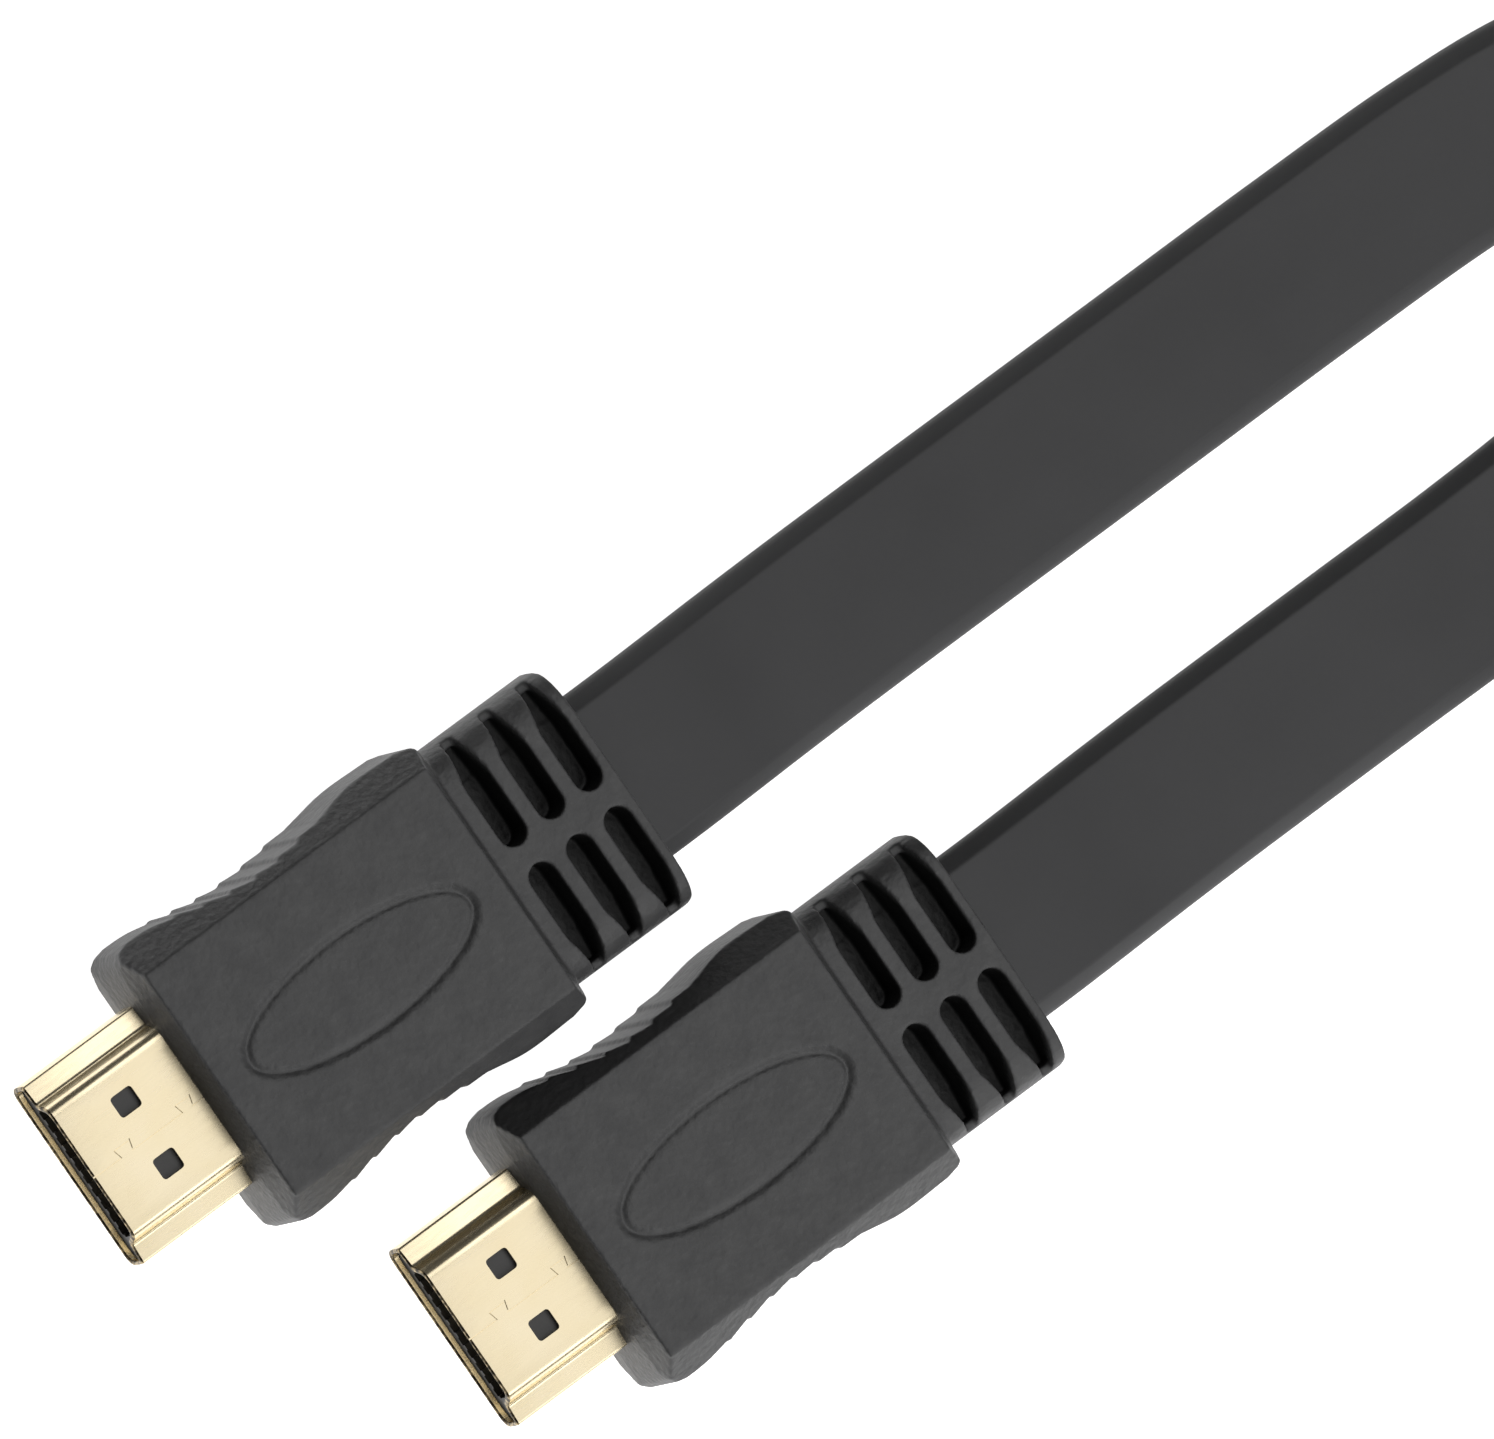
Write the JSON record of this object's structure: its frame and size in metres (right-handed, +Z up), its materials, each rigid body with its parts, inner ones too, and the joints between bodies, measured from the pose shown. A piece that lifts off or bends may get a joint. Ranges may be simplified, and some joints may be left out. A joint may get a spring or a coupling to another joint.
{
  "type": "hdmi cable",
  "caption": "Flat audio and video cable with a D-shaped metal plug in a moulded grip on each end, its spare length wound in a round coil.",
  "frame": {"origin": "on the ground plane, midway between the two plugs", "axes": "+X from the plug tips towards the cord, +Y towards plug a, +Z up"},
  "size_m": [0.2205, 0.1567, 0.0139],
  "materials": {
    "gold_shell": "gold plated, satin",
    "insulator": "moulded",
    "moulding": "moulded, fine grain",
    "contact": "gold plated",
    "cord": "extruded, matt",
    "tie": "woven hook and loop tape"
  },
  "bodies": {
    "root": {"shell_a": "gold_shell", "insulator_a": "insulator", "moulding_a": "moulding", "shell_b": "gold_shell", "insulator_b": "insulator", "moulding_b": "moulding", "contact_a_01": "contact", "contact_a_02": "contact", "contact_a_03": "contact", "contact_a_04": "contact", "contact_a_05": "contact", "contact_a_06": "contact", "contact_a_07": "contact", "contact_a_08": "contact", "contact_a_09": "contact", "contact_a_10": "contact", "contact_a_11": "contact", "contact_a_12": "contact", "contact_a_13": "contact", "contact_a_14": "contact", "contact_a_15": "contact", "contact_a_16": "contact", "contact_a_17": "contact", "contact_a_18": "contact", "contact_a_19": "contact", "contact_b_01": "contact", "contact_b_02": "contact", "contact_b_03": "contact", "contact_b_04": "contact", "contact_b_05": "contact", "contact_b_06": "contact", "contact_b_07": "contact", "contact_b_08": "contact", "contact_b_09": "contact", "contact_b_10": "contact", "contact_b_11": "contact", "contact_b_12": "contact", "contact_b_13": "contact", "contact_b_14": "contact", "contact_b_15": "contact", "contact_b_16": "contact", "contact_b_17": "contact", "contact_b_18": "contact", "contact_b_19": "contact", "ribbon_a": "cord", "ribbon_b": "cord", "coil": "cord", "coil_tie": "tie"}
  },
  "joints": []
}
